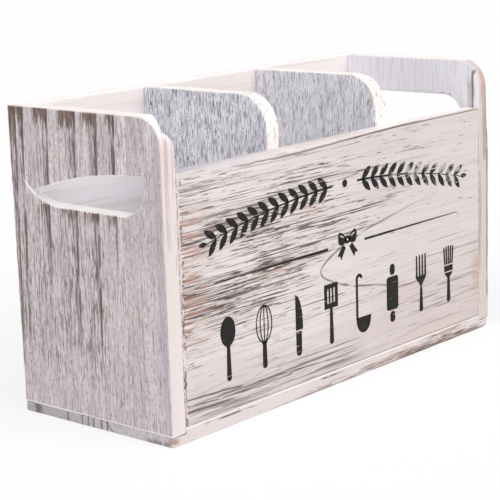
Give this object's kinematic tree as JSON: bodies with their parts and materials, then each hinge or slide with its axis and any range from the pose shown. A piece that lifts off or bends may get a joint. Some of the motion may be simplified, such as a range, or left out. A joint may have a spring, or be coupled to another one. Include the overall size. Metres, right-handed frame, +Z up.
{
  "type": "utensil caddy",
  "caption": "Open whitewashed wooden caddy with upright compartments, a lower front panel and a hand slot in each end, for standing kitchen utensils in.",
  "frame": {"origin": "middle of the footprint, on the surface that the caddy stands on", "axes": "+X to the right for someone facing the front, along the longest side; the front faces -Y; +Z up"},
  "size_m": [0.259, 0.099, 0.15],
  "materials": {
    "whitewashed_wood": "worn white wash over streaked grain, matt",
    "brad_steel": "plain bright steel wire"
  },
  "bodies": {
    "root": {"base_board": "whitewashed_wood", "left_end_board": "whitewashed_wood", "right_end_board": "whitewashed_wood", "front_panel": "whitewashed_wood", "back_panel": "whitewashed_wood", "left_divider": "whitewashed_wood", "right_divider": "whitewashed_wood", "left_end_brads": "brad_steel", "right_end_brads": "brad_steel", "base_end_brads": "brad_steel", "base_panel_brads": "brad_steel", "base_divider_brads": "brad_steel", "front_divider_brads": "brad_steel", "back_divider_brads": "brad_steel"}
  },
  "joints": []
}
